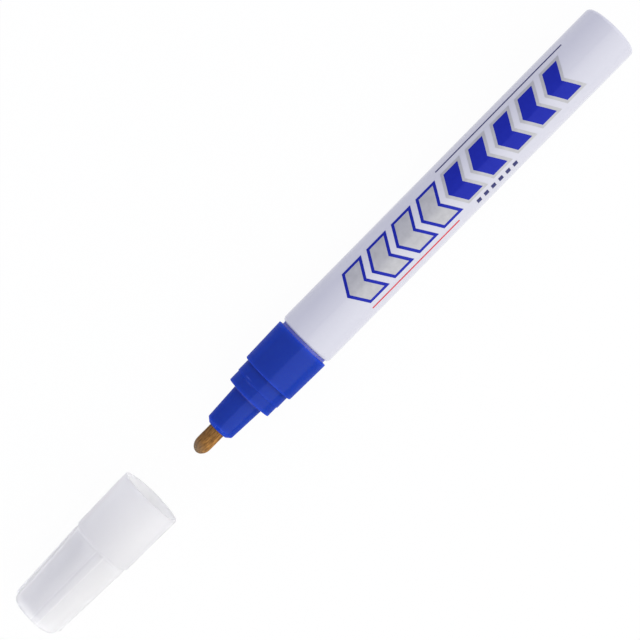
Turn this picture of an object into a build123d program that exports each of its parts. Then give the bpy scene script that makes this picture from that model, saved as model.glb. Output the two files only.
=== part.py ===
from build123d import *
import os
from math import cos, degrees, pi, sin, sqrt

# Valve-action paint marker with its cap taken off, lying along X.
# The nib points to -X, the tail to +X, and Z = 0 is the surface that it lies on.
# Stations along the marker are counted from the barrel's mouth, positive towards the tail.
# All lengths are in millimetres.

# Barrel: a drawn aluminium can whose mouth is rolled in
BARREL_DIAMETER = 15.0
BARREL_LENGTH = 103.5
BARREL_WALL = 0.45
BARREL_BASE = 0.8
SHOULDER_RADIUS = 1.2
TAIL_RADIUS = 1.1
LIP_WIDTH = 0.15

# Front section, outside: neck, collar, two sealing tiers and the nib holder
NECK_LENGTH = 0.7
NECK_DEPTH = 0.85
COLLAR_PROUD = 0.03
COLLAR_LENGTH = 11.8
COLLAR_TAPER = 0.28
COLLAR_FRONT_ROUNDING = 0.35
COLLAR_REAR_ROUNDING = 0.2
FIRST_TIER_STEP = 0.75
FIRST_TIER_LENGTH = 3.45
SECOND_TIER_STEP = 0.2
SECOND_TIER_LENGTH = 3.0
TIER_ROUNDING = 0.16
HOLDER_LENGTH = 10.65
HOLDER_BASE_DIAMETER = 8.65
HOLDER_FRONT_DIAMETER = 7.65
HOLDER_BASE_FILLET = 0.45
NOSE_CHAMFER_LENGTH = 0.9
NOSE_CHAMFER_DEPTH = 1.05
NOSE_ROUNDING = 0.4

# Front section, inside: the plug that snaps into the barrel, and the nib's bores
PLUG_LENGTH = 9.0
PLUG_CLEARANCE = 0.05
PLUG_RELIEF = 0.15
PLUG_LEAD = 0.3
SNAP_GAP = 0.1
SNAP_BITE = 0.25
SNAP_LENGTH = 0.8
SNAP_RAMP = 1.2
NIB_GUIDE_LENGTH = 9.0
NIB_CLEARANCE = 0.05
CHAMBER_GAP = 0.6

# Nib: a fibre bullet that slides in and opens the valve
NIB_DIAMETER = 4.3
NIB_REACH = 7.4
NIB_NOSE_LENGTH = 2.75
PRESS_TRAVEL = 1.5

# Valve: body, stem, washer, spring and retainer behind the nib
VALVE_DEPTH = 15.0
VALVE_OVERHANG = 8.0
VALVE_WALL = 0.7
VALVE_FIT = 0.03
SEAT_WALL = 1.4
STEM_DIAMETER = 3.0
STEM_REACH = 4.0
STEM_TAIL_DIAMETER = 2.2
STEM_TAIL_INSET = 0.3
STEM_TAIL_CLEARANCE = 0.15
ORIFICE_GAP = 0.5
HEAD_LENGTH = 2.0
HEAD_MARGIN = 0.15
HEAD_GAP = 0.5
WASHER_THICKNESS = 0.8
WASHER_OVERLAP = 0.8
WASHER_FIT = 0.03
WINDOW_COUNT = 4
WINDOW_LENGTH = 4.0
WINDOW_WIDTH = 2.4
WINDOW_OFFSET = 0.9
SPRING_WIRE = 0.5
SPRING_TURNS = 9
QUARTERS_PER_TURN = 4
SPRING_INSET = 0.1
SPRING_SEAT_GAP = 0.08
SPIGOT_LENGTH = 1.6
SPIGOT_FIT = 0.05
RETAINER_FLANGE = 0.8
RETAINER_HOLE_COUNT = 3
RETAINER_HOLE_DIAMETER = 1.2

# Stirring ball, loose in the paint
BALL_DIAMETER = 6.0
BALL_CLEARANCE = 0.1
BALL_END_GAP = 0.5

# Cap: a ribbed shell with an inner cap that closes round the nib holder
CAP_OFF_GAP = 15.0
CAP_SEAT_GAP = 0.35
CAP_CLEARANCE = 0.06
CAP_MOUTH_WALL = 0.76
CAP_WIDE_TAPER = 0.25
CAP_STEP_MARGIN = 1.3
CAP_STEP_ROUNDING = 0.25
CAP_RIM_ROUNDING = 0.3
CAP_TIER_GAP = 0.4
CAP_NARROW_WALL = 0.9
CAP_NARROW_TAPER = 1.25
CAP_INNER_STEP = 0.9
CAP_END_WALL = 1.2
CAP_END_RADIUS = 1.2
CAP_END_INNER_RADIUS = 0.5
RIB_COUNT = 4
RIB_WIDTH = 2.0
RIB_START_HEIGHT = 0.3
RIB_END_HEIGHT = 0.6
RIB_START_GAP = 0.5
RIB_RAMP = 0.5
RIB_END_GAP = 0.1
RIB_ROUNDING = 0.15
RIB_TURN = 8.0  # degrees from straight up, towards -Y
INNER_CAP_GAP = 0.3
INNER_CAP_CLEARANCE = 0.12
INNER_CAP_WALL = 0.6
INNER_CAP_END = 0.9
INNER_CAP_FLANGE = 1.5
INNER_CAP_FIT = 0.05
NIB_SPACE = 1.0
NIB_HEADROOM = 1.6

# Cuts run past the faces that they open by this much
OVERRUN = 1.0

# Radii of the barrel, the front section and, from the stem outwards, the valve
barrel_radius = BARREL_DIAMETER / 2
bore_radius = barrel_radius - BARREL_WALL
lip_radius = barrel_radius - SHOULDER_RADIUS
mouth_radius = lip_radius - LIP_WIDTH
neck_radius = barrel_radius - NECK_DEPTH
collar_rear_radius = barrel_radius + COLLAR_PROUD
collar_front_radius = collar_rear_radius - COLLAR_TAPER
first_tier_radius = collar_front_radius - FIRST_TIER_STEP
second_tier_radius = first_tier_radius - SECOND_TIER_STEP
holder_base_radius = HOLDER_BASE_DIAMETER / 2
holder_front_radius = HOLDER_FRONT_DIAMETER / 2
nib_radius = NIB_DIAMETER / 2
guide_radius = nib_radius + NIB_CLEARANCE
chamber_radius = nib_radius + CHAMBER_GAP
plug_throat_radius = mouth_radius - PLUG_CLEARANCE
plug_radius = mouth_radius - PLUG_RELIEF
snap_radius = mouth_radius + SNAP_BITE
stem_radius = STEM_DIAMETER / 2
stem_tail_radius = STEM_TAIL_DIAMETER / 2
orifice_radius = stem_radius + ORIFICE_GAP
washer_radius = orifice_radius + WASHER_OVERLAP
head_radius = washer_radius + HEAD_MARGIN
valve_inner_radius = head_radius + HEAD_GAP
valve_radius = valve_inner_radius + VALVE_WALL
valve_bore_radius = valve_radius + VALVE_FIT
spring_radius = head_radius - SPRING_INSET - SPRING_WIRE / 2
ball_radius = BALL_DIAMETER / 2

# Stations of the front section, from the barrel's mouth towards the nib
collar_rear = -NECK_LENGTH
collar_front = collar_rear - COLLAR_LENGTH
first_tier_front = collar_front - FIRST_TIER_LENGTH
holder_base = first_tier_front - SECOND_TIER_LENGTH
holder_front = holder_base - HOLDER_LENGTH
nose_edge = holder_front + NOSE_CHAMFER_LENGTH
nib_tip = holder_front - NIB_REACH
guide_end = holder_front + NIB_GUIDE_LENGTH

# Stations of the valve, from the nib towards the tail
snap_front = BARREL_WALL + SNAP_GAP
snap_rear = snap_front + SNAP_LENGTH
valve_front = PLUG_LENGTH - VALVE_DEPTH
seat_face = valve_front + SEAT_WALL
head_front = seat_face + WASHER_THICKNESS
head_rear = head_front + HEAD_LENGTH
valve_rear = PLUG_LENGTH + VALVE_OVERHANG
retainer_front = valve_rear - SPIGOT_LENGTH
retainer_rear = valve_rear + RETAINER_FLANGE
stem_front = valve_front - STEM_REACH
stem_rear = retainer_rear - STEM_TAIL_INSET
window_front = PLUG_LENGTH + WINDOW_OFFSET

# The ball's run, between the stem at full press and the barrel's base
ball_run_front = max(stem_rear + PRESS_TRAVEL, retainer_rear) + ball_radius + BALL_END_GAP
ball_run_rear = BARREL_LENGTH - BARREL_BASE - ball_radius - BALL_END_GAP
ball_station = (ball_run_front + ball_run_rear) / 2
ball_drop = bore_radius - ball_radius - BALL_CLEARANCE

# Depths in the cap, from its mouth towards its closed end
tier_depth = -first_tier_front - CAP_SEAT_GAP
step_depth = tier_depth + CAP_STEP_MARGIN
inner_step_depth = step_depth - CAP_INNER_STEP
inner_cap_mouth = -holder_base - CAP_SEAT_GAP + INNER_CAP_GAP
inner_cap_nose = -holder_front - CAP_SEAT_GAP + INNER_CAP_GAP
inner_cap_chamber_end = -nib_tip - CAP_SEAT_GAP + NIB_HEADROOM
inner_cap_end = inner_cap_chamber_end + INNER_CAP_END
cap_length = inner_cap_end + CAP_END_WALL

# Radii of the cap
cap_bore_radius = collar_rear_radius + CAP_CLEARANCE
cap_mouth_radius = cap_bore_radius + CAP_MOUTH_WALL
cap_step_radius = cap_mouth_radius - CAP_WIDE_TAPER
narrow_bore_radius = second_tier_radius + CAP_TIER_GAP
narrow_radius = narrow_bore_radius + CAP_NARROW_WALL

# The cap's place with its mouth clear of the nib, and its travel onto the front section
cap_mouth = nib_tip - CAP_OFF_GAP
cap_travel = -CAP_SEAT_GAP - cap_mouth

# The frame's origin lies under the middle of the whole row, cap and marker
axis_height = max(cap_mouth_radius, collar_rear_radius)
mouth_x = (cap_length - cap_mouth - BARREL_LENGTH) / 2
MARKER_AXIS = Axis((mouth_x, 0, axis_height), (1, 0, 0))


def lengthwise(turn=0.0):
    """A plane through the axis: x is the station, y the radius, turned about the axis from straight up."""
    across = Vector(0, -1, 0).rotate(Axis.X, turn)
    return Plane(origin=(mouth_x, 0, axis_height), x_dir=(1, 0, 0), z_dir=across)


def crosswise(station):
    """A plane square to the axis at a station, facing the tail."""
    return Plane(origin=(mouth_x + station, 0, axis_height), x_dir=(0, 1, 0), z_dir=(1, 0, 0))


def round_corner(sketch, station, radius, rounding):
    """Rounds the corner of an outline that lies nearest to a point."""
    fillet(sketch.vertices().sort_by_distance((station, radius, 0))[0], rounding)


def narrow_taper(depth):
    """What the cap's narrow part has lost in radius at a depth."""
    return CAP_NARROW_TAPER * (depth - step_depth) / (cap_length - step_depth)


def rib_top_edge(edge):
    """Whether an edge of the cap shell runs along the top of a rib."""
    middle = edge.center()
    depth = mouth_x + cap_mouth - middle.X
    reach = (middle - Vector(middle.X, 0, axis_height)).length
    return depth > step_depth and reach > narrow_radius - narrow_taper(depth) + RIB_START_HEIGHT / 2


# Barrel: one wall of even thickness from the rolled lip round to the closed tail
with BuildPart() as barrel:
    with BuildSketch(lengthwise()) as barrel_outside:
        Rectangle(BARREL_LENGTH, barrel_radius, align=(Align.MIN, Align.MIN))
        round_corner(barrel_outside, 0, barrel_radius, SHOULDER_RADIUS)
        round_corner(barrel_outside, BARREL_LENGTH, barrel_radius, TAIL_RADIUS)
    revolve(axis=MARKER_AXIS)
    with BuildSketch(lengthwise()) as barrel_inside:
        inside_rear = BARREL_LENGTH - BARREL_BASE
        with Locations((BARREL_WALL, 0)):
            Rectangle(inside_rear - BARREL_WALL, bore_radius, align=(Align.MIN, Align.MIN))
        round_corner(barrel_inside, BARREL_WALL, bore_radius, SHOULDER_RADIUS - BARREL_WALL)
        round_corner(barrel_inside, inside_rear, bore_radius, TAIL_RADIUS - BARREL_WALL)
    revolve(axis=MARKER_AXIS, mode=Mode.SUBTRACT)
    with BuildSketch(crosswise(0)):
        Circle(mouth_radius)
    extrude(amount=BARREL_WALL + OVERRUN, mode=Mode.SUBTRACT)
barrel.part.label = "barrel"

# Front section: one moulding, from the nose of the nib holder to the plug inside the barrel
with BuildPart() as front_section:
    with BuildSketch(lengthwise()) as section_wall:
        with BuildLine():
            Polyline(
                (holder_front, guide_radius),
                (holder_front, holder_front_radius - NOSE_CHAMFER_DEPTH),
                (nose_edge, holder_front_radius),
                (holder_base, holder_base_radius),
                (holder_base, second_tier_radius),
                (first_tier_front, second_tier_radius),
                (first_tier_front, first_tier_radius),
                (collar_front, first_tier_radius),
                (collar_front, collar_front_radius),
                (collar_rear, collar_rear_radius),
                (collar_rear, neck_radius),
                (0, neck_radius),
                (0, plug_throat_radius),
                (snap_front, plug_throat_radius),
                (snap_front, snap_radius),
                (snap_rear, snap_radius),
                (snap_rear + SNAP_RAMP, plug_radius),
                (PLUG_LENGTH - PLUG_LEAD, plug_radius),
                (PLUG_LENGTH, plug_radius - PLUG_LEAD),
                (PLUG_LENGTH, valve_bore_radius),
                (valve_front, valve_bore_radius),
                (valve_front, chamber_radius),
                (guide_end, chamber_radius),
                (guide_end, guide_radius),
                close=True,
            )
        make_face()
        round_corner(section_wall, nose_edge, holder_front_radius, NOSE_ROUNDING)
        round_corner(section_wall, holder_base, holder_base_radius, HOLDER_BASE_FILLET)
        round_corner(section_wall, holder_base, second_tier_radius, TIER_ROUNDING)
        round_corner(section_wall, first_tier_front, first_tier_radius, TIER_ROUNDING)
        round_corner(section_wall, collar_front, collar_front_radius, COLLAR_FRONT_ROUNDING)
        round_corner(section_wall, collar_rear, collar_rear_radius, COLLAR_REAR_ROUNDING)
    revolve(axis=MARKER_AXIS)
front_section.part.label = "front_section"

# Nib: a straight rod with an elliptical nose, its rear end on the valve stem
with BuildPart() as nib:
    with BuildSketch(lengthwise()):
        with BuildLine():
            nose_end = nib_tip + NIB_NOSE_LENGTH
            EllipticalCenterArc((nose_end, 0), NIB_NOSE_LENGTH, nib_radius, start_angle=90, arc_size=90)
            Polyline((nose_end, nib_radius), (stem_front, nib_radius), (stem_front, 0), (nib_tip, 0))
        make_face()
    revolve(axis=MARKER_AXIS)
nib.part.label = "nib"

# Valve body: a cup in the plug, with the seat at its front and windows that let the paint in
with BuildPart() as valve_body:
    with BuildSketch(lengthwise()):
        with BuildLine():
            Polyline(
                (valve_front, orifice_radius),
                (valve_front, valve_radius),
                (valve_rear, valve_radius),
                (valve_rear, valve_inner_radius),
                (seat_face, valve_inner_radius),
                (seat_face, orifice_radius),
                close=True,
            )
        make_face()
    revolve(axis=MARKER_AXIS)
    for window in range(WINDOW_COUNT):
        with BuildSketch(lengthwise(360 * window / WINDOW_COUNT)):
            with Locations((window_front, 0)):
                Rectangle(WINDOW_LENGTH, valve_radius + OVERRUN, align=(Align.MIN, Align.MIN))
        extrude(amount=WINDOW_WIDTH / 2, both=True, mode=Mode.SUBTRACT)
valve_body.part.label = "valve_body"

# Valve stem: the nib pushes its front end, its head shuts on the seat, its tail slides in the retainer
with BuildPart() as valve_stem:
    with BuildSketch(lengthwise()):
        with BuildLine():
            Polyline(
                (stem_front, 0),
                (stem_front, stem_radius),
                (head_front, stem_radius),
                (head_front, head_radius),
                (head_rear, head_radius),
                (head_rear, stem_tail_radius),
                (stem_rear, stem_tail_radius),
                (stem_rear, 0),
                close=True,
            )
        make_face()
    revolve(axis=MARKER_AXIS)
valve_stem.part.label = "valve_stem"

# Valve washer: a rubber ring on the stem, between its head and the seat
with BuildPart() as valve_washer:
    with BuildSketch(crosswise(seat_face)):
        Circle(washer_radius)
        Circle(stem_radius + WASHER_FIT, mode=Mode.SUBTRACT)
    extrude(amount=WASHER_THICKNESS)
valve_washer.part.label = "valve_washer"

# Spring retainer: a flanged plug in the rear of the valve body that guides the stem's tail
with BuildPart() as spring_retainer:
    spigot_radius = valve_inner_radius - SPIGOT_FIT
    tail_hole_radius = stem_tail_radius + STEM_TAIL_CLEARANCE
    with BuildSketch(lengthwise()):
        with BuildLine():
            Polyline(
                (retainer_front, tail_hole_radius),
                (retainer_front, spigot_radius),
                (valve_rear, spigot_radius),
                (valve_rear, valve_radius),
                (retainer_rear, valve_radius),
                (retainer_rear, tail_hole_radius),
                close=True,
            )
        make_face()
    revolve(axis=MARKER_AXIS)
    with BuildSketch(crosswise(retainer_front)):
        with PolarLocations((tail_hole_radius + spigot_radius) / 2, RETAINER_HOLE_COUNT):
            Circle(RETAINER_HOLE_DIAMETER / 2)
    extrude(amount=SPIGOT_LENGTH + RETAINER_FLANGE, mode=Mode.SUBTRACT)
spring_retainer.part.label = "spring_retainer"

# Valve spring: a wire helix from the stem's head to the retainer, each quarter turn drawn as two arcs
spring_start = head_rear + SPRING_WIRE / 2 + SPRING_SEAT_GAP
spring_end = retainer_front - SPRING_WIRE / 2 - SPRING_SEAT_GAP
spring_pitch = (spring_end - spring_start) / SPRING_TURNS


def coil_point(turns):
    """The middle of the wire after so many turns."""
    angle = 2 * pi * turns
    station = spring_start + spring_pitch * turns
    height = axis_height + spring_radius * sin(angle)
    return Vector(mouth_x + station, spring_radius * cos(angle), height)


def coil_direction(turns):
    """The way the wire runs after so many turns."""
    angle = 2 * pi * turns
    around = 2 * pi * spring_radius
    return Vector(spring_pitch, -around * sin(angle), around * cos(angle)).normalized()


def biarc(start, start_direction, end, end_direction):
    """Two arcs that leave start and reach end in the given directions and share a tangent between them."""
    chord = end - start
    along = chord.dot(start_direction + end_direction)
    bend = 2 * (1 - start_direction.dot(end_direction))
    reach = (sqrt(along**2 + bend * chord.dot(chord)) - along) / bend
    first_corner = start + start_direction * reach
    second_corner = end - end_direction * reach
    middle = (first_corner + second_corner) / 2
    TangentArc(start, middle, tangent=start_direction)
    TangentArc(middle, end, tangent=second_corner - first_corner)


coil_steps = SPRING_TURNS * QUARTERS_PER_TURN
with BuildPart() as valve_spring:
    with BuildLine():
        for quarter in range(coil_steps):
            begin = quarter / QUARTERS_PER_TURN
            finish = (quarter + 1) / QUARTERS_PER_TURN
            biarc(coil_point(begin), coil_direction(begin), coil_point(finish), coil_direction(finish))
    with BuildSketch(Plane(origin=coil_point(0), z_dir=coil_direction(0))):
        Circle(SPRING_WIRE / 2)
    sweep()
valve_spring.part.label = "valve_spring"
coil_gaps = [
    (coil_point(step / QUARTERS_PER_TURN + 1) - coil_point(step / QUARTERS_PER_TURN)).length - SPRING_WIRE
    for step in range(coil_steps - QUARTERS_PER_TURN)
]
print("least gap between the spring's turns:", round(min(coil_gaps), 3))

# Stirring ball: a steel ball that lies on the bottom of the barrel's bore
with BuildPart() as stirring_ball:
    with Locations((mouth_x + ball_station, 0, axis_height - ball_drop)):
        Sphere(ball_radius)
stirring_ball.part.label = "stirring_ball"

# Cap shell: a wide mouth that slides over the collar, a step, and a narrower ribbed part with a closed end
with BuildPart() as cap_shell:
    with BuildSketch(lengthwise()) as shell_wall:
        narrow_bore_end = narrow_bore_radius - narrow_taper(inner_cap_end)
        cap_end_outer_radius = narrow_radius - CAP_NARROW_TAPER
        with BuildLine():
            Polyline(
                (cap_mouth, cap_bore_radius),
                (cap_mouth, cap_mouth_radius),
                (cap_mouth - step_depth, cap_step_radius),
                (cap_mouth - step_depth, narrow_radius),
                (cap_mouth - cap_length, cap_end_outer_radius),
                (cap_mouth - cap_length, 0),
                (cap_mouth - inner_cap_end, 0),
                (cap_mouth - inner_cap_end, narrow_bore_end),
                (cap_mouth - step_depth, narrow_bore_radius),
                (cap_mouth - inner_step_depth, cap_bore_radius - CAP_WIDE_TAPER),
                close=True,
            )
        make_face()
        round_corner(shell_wall, cap_mouth, cap_mouth_radius, CAP_RIM_ROUNDING)
        round_corner(shell_wall, cap_mouth - step_depth, cap_step_radius, CAP_STEP_ROUNDING)
        round_corner(shell_wall, cap_mouth - cap_length, cap_end_outer_radius, CAP_END_RADIUS)
        round_corner(shell_wall, cap_mouth - inner_cap_end, narrow_bore_end, CAP_END_INNER_RADIUS)
    revolve(axis=MARKER_AXIS)
    rib_start = step_depth + RIB_START_GAP
    rib_end = cap_length - CAP_END_RADIUS - RIB_END_GAP
    rib_depths = (rib_start, rib_start, rib_start + RIB_RAMP, rib_end - RIB_RAMP, rib_end, rib_end)
    rib_heights = (-CAP_NARROW_WALL / 2, 0, RIB_START_HEIGHT, RIB_END_HEIGHT, 0, -CAP_NARROW_WALL / 2)
    rib_outline = [
        (cap_mouth - depth, narrow_radius - narrow_taper(depth) + height)
        for depth, height in zip(rib_depths, rib_heights)
    ]
    rib_arc = degrees(RIB_WIDTH / narrow_radius)
    for rib in range(RIB_COUNT):
        with BuildSketch(lengthwise(RIB_TURN - rib_arc / 2 + 360 * rib / RIB_COUNT)):
            with BuildLine():
                Polyline(*rib_outline, close=True)
            make_face()
        revolve(axis=MARKER_AXIS, revolution_arc=rib_arc)
    long_edges = cap_shell.edges().filter_by(GeomType.LINE).filter_by(lambda edge: edge.length > RIB_WIDTH)
    fillet(long_edges.filter_by(rib_top_edge), RIB_ROUNDING)
cap_shell.part.label = "cap_shell"

# Inner cap: a thimble whose flange sits in the shell's bore and whose end stands on the shell's end wall
with BuildPart() as inner_cap:
    with BuildSketch(lengthwise()):
        seal_radius = holder_base_radius + INNER_CAP_CLEARANCE
        nose_seal_radius = holder_front_radius + INNER_CAP_CLEARANCE
        nib_space_radius = nib_radius + NIB_SPACE
        flange_radius = narrow_bore_radius - INNER_CAP_FIT
        flange_end = inner_cap_mouth + INNER_CAP_FLANGE
        with BuildLine():
            Polyline(
                (cap_mouth - inner_cap_mouth, seal_radius),
                (cap_mouth - inner_cap_mouth, flange_radius - narrow_taper(inner_cap_mouth)),
                (cap_mouth - flange_end, flange_radius - narrow_taper(flange_end)),
                (cap_mouth - flange_end, seal_radius + INNER_CAP_WALL),
                (cap_mouth - inner_cap_nose, nose_seal_radius + INNER_CAP_WALL),
                (cap_mouth - inner_cap_end, nib_space_radius + INNER_CAP_WALL),
                (cap_mouth - inner_cap_end, 0),
                (cap_mouth - inner_cap_chamber_end, 0),
                (cap_mouth - inner_cap_chamber_end, nib_space_radius),
                (cap_mouth - inner_cap_nose, nib_space_radius),
                (cap_mouth - inner_cap_nose, nose_seal_radius),
                close=True,
            )
        make_face()
    revolve(axis=MARKER_AXIS)
inner_cap.part.label = "inner_cap"

os.makedirs("parts", exist_ok=True)
pieces = (
    barrel,
    front_section,
    nib,
    valve_body,
    valve_stem,
    valve_washer,
    spring_retainer,
    valve_spring,
    stirring_ball,
    cap_shell,
    inner_cap,
)
for piece in pieces:
    export_step(piece.part, f"parts/{piece.part.label}.step")
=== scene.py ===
from math import cos, pi, radians, sin

import bpy
from mathutils import Matrix, Vector


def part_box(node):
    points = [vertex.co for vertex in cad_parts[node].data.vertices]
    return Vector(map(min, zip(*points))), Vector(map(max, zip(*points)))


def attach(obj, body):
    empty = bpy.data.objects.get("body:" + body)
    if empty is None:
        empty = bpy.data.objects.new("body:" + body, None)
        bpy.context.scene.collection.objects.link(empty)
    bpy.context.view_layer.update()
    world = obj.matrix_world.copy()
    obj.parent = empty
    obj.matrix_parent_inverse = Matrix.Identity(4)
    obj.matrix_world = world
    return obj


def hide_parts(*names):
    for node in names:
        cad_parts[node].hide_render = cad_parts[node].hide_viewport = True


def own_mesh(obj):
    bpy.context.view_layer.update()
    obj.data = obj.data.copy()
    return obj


# Paint marker with its cap taken off: nib, cap, spring, barrel print, finishes, light and camera
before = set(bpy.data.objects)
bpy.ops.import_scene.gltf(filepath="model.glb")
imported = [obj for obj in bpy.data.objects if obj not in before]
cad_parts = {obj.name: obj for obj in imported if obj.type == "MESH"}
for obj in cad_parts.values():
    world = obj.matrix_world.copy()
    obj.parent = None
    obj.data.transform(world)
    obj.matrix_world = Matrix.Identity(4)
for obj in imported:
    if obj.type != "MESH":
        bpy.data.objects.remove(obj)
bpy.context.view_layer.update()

MM = 0.001

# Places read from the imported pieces
barrel_low, barrel_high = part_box("barrel")
nib_low, nib_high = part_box("nib")
spring_low, spring_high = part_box("valve_spring")
AXIS_HEIGHT = (barrel_low.z + barrel_high.z) / 2
BARREL_RADIUS = (barrel_high.y - barrel_low.y) / 2
MOUTH_X = barrel_low.x
CAP_MOUTH_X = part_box("cap_shell")[1].x
AXIS_POINT = (0, 0, AXIS_HEIGHT)
LENGTHWISE = (1, 0, 0)

# Modelling: the plane that an outline's first point is merged from, seam gaps and the angle of a sharp edge
START_SIZE = 1 * MM
SEAM_GAP = 0.002 * MM
INK_SEAM_GAP = 0.001 * MM
SHARP_ANGLE = radians(50)

# Fibre nib
NIB_NOSE = 2.75 * MM
NIB_TURN_STEPS = 180
NIB_RING_GAP = 0.3 * MM
NIB_FINE_LENGTH = 10 * MM
NOSE_RINGS = 14
FIBRE_DEPTH = 0.10 * MM
FIBRE_WIDTH = 0.38 * MM
FIBRE_LENGTH = 1.7 * MM
FIBRE_PROUD_SHARE = 0.25
FIBRE_NOISE_DEPTH = 2

# Painted shade on the nib's far side, away from the light, and the grey of its nose
FAR_SIDE_PAINTED_SHADE = (0.085, 0.048, 0.020, 1)
FAR_SIDE_SHADE_STRENGTH = 0.55
NOSE_GREY = (0.215, 0.175, 0.125, 1)
NOSE_GREY_STRENGTH = 0.75
NOSE_GREY_LEAST = 0.15
NOSE_GREY_START = 0.25 * NIB_NOSE
NOSE_GREY_END = 1.1 * NIB_NOSE

# Valve spring
SPRING_WIRE = 0.5 * MM
SPRING_TURNS = 9
WIRE_SIDES = 14
COIL_STEPS = 28

# Barrel print: silver then blue chevrons that point to the nib, fine lines beside them and a row of pips
INK_FILM = 0.012 * MM
INK_STEPS = 20
SILVER_CHEVRONS = 4
BLUE_CHEVRONS = 5
FIRST_CHEVRON = 14.5 * MM
CHEVRON_WIDTH = 6.4 * MM
CHEVRON_PITCH = 8.2 * MM
CHEVRON_REACH = 5.2 * MM
CHEVRON_SLANT = 0.62
CHEVRON_OUTLINE = 0.75 * MM
FINE_LINE = 0.45 * MM
FINE_LINE_ARC = 6.9 * MM
RED_LINE = (17 * MM, 46 * MM)
NAVY_LINE = (50 * MM, 92 * MM)
PIP_COUNT = 6
FIRST_PIP = 52 * MM
PIP_SIZE = 1.3 * MM
PIP_PITCH = 2.4 * MM

# Sockets of a Mix node that mixes colours: factor and two colours in, one colour out
COLOUR_MIX_INPUTS = (0, 6, 7)
COLOUR_MIX_OUTPUT = 2

# Surface grain that all finishes share, and the specks in the lacquer
NOISE_MIDDLE = 0.5
GRAIN_DEPTH = 0.05 * MM
GRAIN_DETAIL = 2
MOTTLE_DETAIL = 4
DRIFT_CELLS = 260
DRIFT_DETAIL = 3
SPECK_CELLS = 120
SPECK_SIZE = 0.022
SPECK_GREY = (0.42, 0.42, 0.50, 1)

# Blue front section: its gloss and its metal share where it faces the eye and at its rims, by Facing
BLUE_GLOSS = (0.38, 0.17)
BLUE_GLOSS_FADE = (0.22, 0.34)
BLUE_METAL = (0.25, 0)
BLUE_METAL_FADE = (0.22, 0.36)

# Painted light in the neck groove behind the collar, and a pale line of painted reflection at the nib
# holder's root
NECK_STATION = -0.69 * MM
NECK_PAINTED_LIGHT_BLUE = (0.150, 0.170, 0.580, 1)
ROOT_STATION = -19.2 * MM
ROOT_REACH = 0.3 * MM
ROOT_PAINTED_REFLECTION_BLUE = (0.075, 0.095, 0.450, 1)
ROOT_REFLECTION_STRENGTH = 0.4

# Painted highlights on the blue edges and painted shade at their roots, by millimetres from the barrel's
# mouth; 0.5 is neither
PAINTED_LIGHT_LIFT = 2
PAINTED_EDGE_LIGHT_RAMP = (
    (-29.6, 0.62),
    (-28.7, 0.66),
    (-28.0, 0.53),
    (-27.0, 0.50),
    (-20.6, 0.50),
    (-19.4, 0.44),
    (-18.98, 0.44),
    (-18.94, 0.70),
    (-18.4, 0.58),
    (-17.8, 0.50),
    (-15.99, 0.50),
    (-15.94, 0.57),
    (-15.5, 0.53),
    (-15.1, 0.50),
    (-13.6, 0.49),
    (-12.9, 0.42),
    (-12.52, 0.40),
    (-12.48, 0.66),
    (-11.9, 0.54),
    (-11.3, 0.50),
    (-2.4, 0.50),
    (-1.6, 0.54),
    (-1.1, 0.61),
    (-0.75, 0.74),
)

# Painted highlights (pale glints) on the sealing tiers: station, middle and half width of their arc from the
# top line, and strength
PAINTED_GLINT_HALF_LENGTH = 0.24 * MM
PAINTED_GLINT_BLUE = (0.12, 0.19, 0.78, 1)
PAINTED_GLINTS = (
    (-15.3 * MM, radians(31), radians(11), 0.42),
    (-16.1 * MM, radians(22), radians(17), 0.22),
)

# Cap moulding
CAP_GRID = 0.26 * MM
CAP_SOFTNESS = 0.5
CAP_SOFT_ROUNDS = 6

# Cap finish: what lies this near to its mouth and to the axis is inside the wide bore, which gets painted
# light; beyond the step the cap gets painted light too
CAP_BORE_DEPTH = 15 * MM
CAP_BORE_REACH = 7.62 * MM
CAP_BORE_PAINTED_LIGHT = (0.985, 0.982, 0.984, 1)
CAP_STEP_DEPTH = 17.2 * MM
CAP_NARROW_PAINTED_LIGHT = (0.960, 0.955, 0.960, 1)
CAP_NARROW_LIGHT_STRENGTH = 0.62

# Ribs beyond the cap's step, with their widths measured at this radius, with painted shade on their tops and
# painted highlights on their edges
CAP_RIB_PITCH = radians(90)
CAP_RIB_TURN = radians(8)
CAP_RIB_RADIUS = 7.4 * MM
CAP_RIB_HALF_WIDTH = 1.12 * MM
CAP_RIB_HIGHLIGHT_REACH = 0.34 * MM
CAP_RIB_PAINTED_SHADE = (0.780, 0.774, 0.795, 1)
CAP_RIB_SHADE_STRENGTH = 0.42
CAP_RIB_PAINTED_HIGHLIGHT = (1, 1, 1, 1)
CAP_RIB_HIGHLIGHT_STRENGTH = 0.8

# Camera, from the photograph's framing, in stations from the barrel's mouth
LENS = 108.3
CAMERA_STATION = 16.53 * MM
CAMERA_HEIGHT = 458 * MM
AIM_STATION = 6.15 * MM
AIM_SIDE = 0.93 * MM
CAMERA_ROLL = radians(45.41)

# Light and floor, in metres
NEAR_SKY = (0.82, 0.82, 0.885, 1)
FAR_SKY = (0.60, 0.61, 0.725, 1)
SOFTBOX_RADIANCE = 0.56
SOFTBOX_COLOUR = (1, 0.99, 0.82)
SOFTBOX_TOP = Vector((0, -0.11, 0.60))
SOFTBOX_FOOT = Vector((0, -1.50, 0.03))
SOFTBOX_LENGTH = 3.2
END_LAMP_RADIANCE = 0.9
END_LAMP_COLOUR = (1, 1, 1)
END_LAMP_TOP = Vector((0.70, 0, 0.55))
END_LAMP_FOOT = Vector((0.90, 0, 0.03))
END_LAMP_LENGTH = 1.2
FLOOR_SIZE = 12
FLOOR_COLOUR = (0.90, 0.90, 0.91, 1)
FLOOR_WHITE_SHARE = 0.96


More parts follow.
